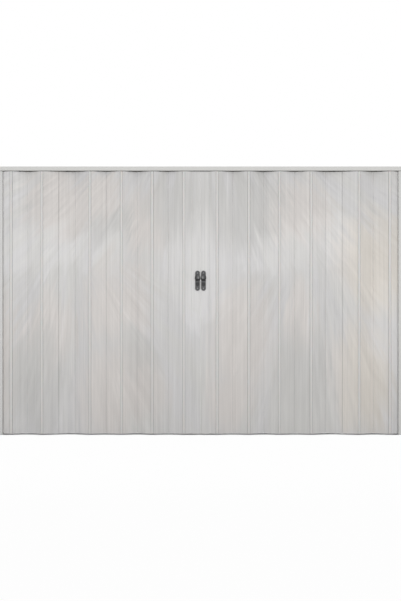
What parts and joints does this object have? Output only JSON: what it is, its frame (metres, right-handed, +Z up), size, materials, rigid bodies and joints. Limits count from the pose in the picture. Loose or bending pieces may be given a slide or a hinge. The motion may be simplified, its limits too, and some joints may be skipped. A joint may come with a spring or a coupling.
{
  "type": "accordion door",
  "caption": "Double accordion door of hollow PVC slats on soft hinge strips, closed, hung from a ceiling track between two jambs, with a finger pull on both faces of each lead post",
  "frame": {"origin": "middle of the track's top face, which is fixed to the lintel", "axes": "+X along the opening to the right, -Y out of the front, +Z up; the floor is at z = -2.14 m"},
  "size_m": [3.214, 0.074, 2.14],
  "materials": {
    "slat_pvc": "bleached ash print, satin",
    "frame_pvc": "satin",
    "hinge_pvc": "soft satin",
    "grey_nylon": "matte",
    "pull_plastic": "satin",
    "closing_rubber": "matte"
  },
  "bodies": {
    "root": {"left_lead_post": "slat_pvc", "left_lead_half_slat": "slat_pvc", "left_wall_half_slat": "slat_pvc", "left_slat_01": "slat_pvc", "left_slat_02": "slat_pvc", "left_slat_03": "slat_pvc", "left_slat_04": "slat_pvc", "left_slat_05": "slat_pvc", "left_slat_06": "slat_pvc", "left_slat_07": "slat_pvc", "left_slat_08": "slat_pvc", "left_slat_09": "slat_pvc", "left_slat_10": "slat_pvc", "left_slat_11": "slat_pvc", "right_lead_post": "slat_pvc", "right_lead_half_slat": "slat_pvc", "right_wall_half_slat": "slat_pvc", "right_slat_01": "slat_pvc", "right_slat_02": "slat_pvc", "right_slat_03": "slat_pvc", "right_slat_04": "slat_pvc", "right_slat_05": "slat_pvc", "right_slat_06": "slat_pvc", "right_slat_07": "slat_pvc", "right_slat_08": "slat_pvc", "right_slat_09": "slat_pvc", "right_slat_10": "slat_pvc", "right_slat_11": "slat_pvc", "track": "frame_pvc", "left_jamb": "frame_pvc", "right_jamb": "frame_pvc", "left_hinge_strips": "hinge_pvc", "right_hinge_strips": "hinge_pvc", "left_hangers": "grey_nylon", "left_runners": "grey_nylon", "right_hangers": "grey_nylon", "right_runners": "grey_nylon", "left_front_finger_pull": "pull_plastic", "left_back_finger_pull": "pull_plastic", "right_front_finger_pull": "pull_plastic", "right_back_finger_pull": "pull_plastic", "left_closing_strip": "closing_rubber", "right_closing_strip": "closing_rubber"}
  },
  "joints": []
}
